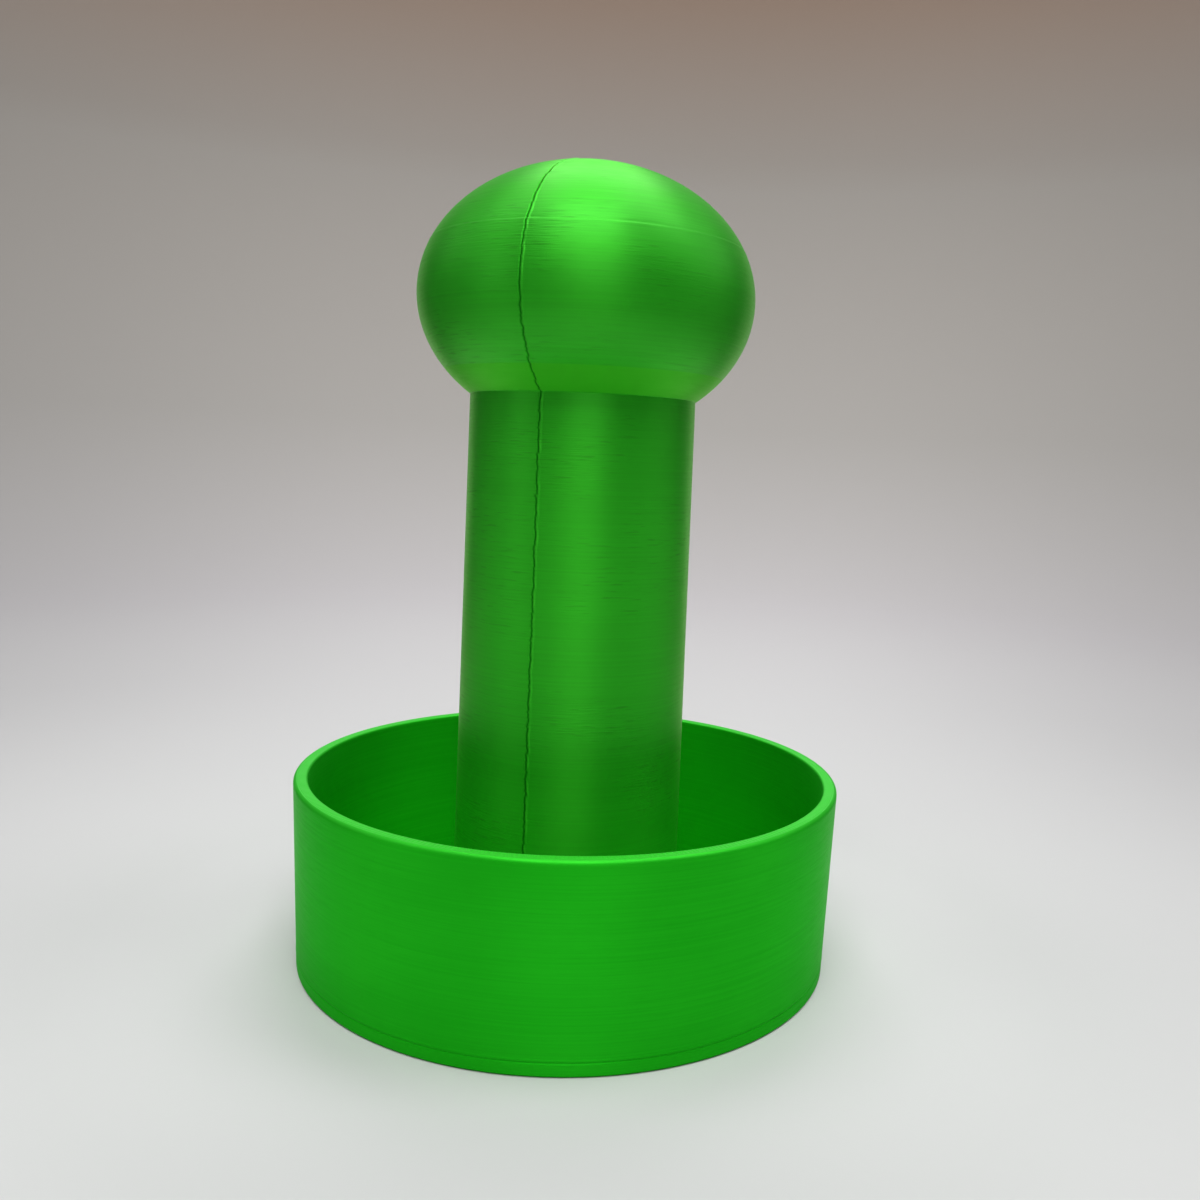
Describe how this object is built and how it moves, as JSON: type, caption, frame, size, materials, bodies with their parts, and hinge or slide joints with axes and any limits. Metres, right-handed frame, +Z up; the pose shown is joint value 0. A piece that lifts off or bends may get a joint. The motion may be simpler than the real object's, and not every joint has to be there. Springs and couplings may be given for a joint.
{
  "type": "hair accessory holder stand",
  "caption": "Free-standing printed stand: a round tray with a thick hollow post and an oblate knob, for fabric hair ties slid over the knob.",
  "frame": {"origin": "middle of the tray's flat underside, on the axis of the post", "axes": "+Z up along the post's axis, towards the knob; the stand is round, so X and Y are equal"},
  "size_m": [0.145, 0.145, 0.2117],
  "materials": {
    "tray_print": "3D-printed silk green with fine layer lines",
    "post_print": "3D-printed silk green with fine layer lines and one vertical print seam"
  },
  "bodies": {
    "tray_body": {"tray": "tray_print"},
    "post_body": {"post_with_knob": "post_print"}
  },
  "joints": [
    {"name": "post_lift", "type": "slide", "parent": "tray_body", "child": "post_body", "axis": [0, 0, 1], "range_m": [0, 0.02]}
  ]
}
